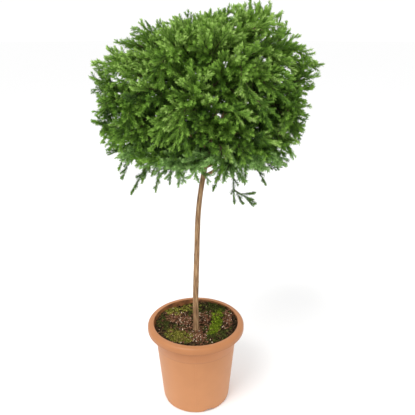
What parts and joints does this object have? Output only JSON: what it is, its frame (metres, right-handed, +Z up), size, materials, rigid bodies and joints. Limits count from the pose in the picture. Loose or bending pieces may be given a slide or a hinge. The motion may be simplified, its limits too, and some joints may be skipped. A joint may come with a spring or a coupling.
{
  "type": "potted dwarf conifer standard",
  "caption": "Dwarf Japanese cedar grown as a standard: a bushy needled crown on one slim bare stem, planted in a round flared nursery pot full of soil.",
  "frame": {"origin": "middle of the pot's flat underside, on the ground", "axes": "+Z up along the stem, +X to the right of the plant and -Y towards its front"},
  "size_m": [0.5272, 0.4963, 1.036],
  "materials": {
    "pot_plastic": "moulded terracotta-coloured plastic, faintly satin",
    "soil": "loose dark soil with bark chips and moss",
    "bark": "thin peeling cinnamon-brown bark",
    "needles": "short awl-shaped green needles"
  },
  "bodies": {
    "root": {"pot": "pot_plastic", "soil": "soil", "trunk": "bark", "bough_lower_1": "bark", "bough_lower_2": "bark", "bough_lower_3": "bark", "bough_lower_4": "bark", "bough_lower_5": "bark", "bough_middle_1": "bark", "bough_middle_2": "bark", "bough_middle_3": "bark", "bough_middle_4": "bark", "bough_middle_5": "bark", "bough_upper_1": "bark", "bough_upper_2": "bark", "bough_upper_3": "bark", "bough_upper_4": "bark", "foliage_lower_1": "needles", "foliage_lower_2": "needles", "foliage_lower_3": "needles", "foliage_lower_4": "needles", "foliage_lower_5": "needles", "foliage_middle_1": "needles", "foliage_middle_2": "needles", "foliage_middle_3": "needles", "foliage_middle_4": "needles", "foliage_middle_5": "needles", "foliage_upper_1": "needles", "foliage_upper_2": "needles", "foliage_upper_3": "needles", "foliage_upper_4": "needles", "foliage_top": "needles"}
  },
  "joints": []
}
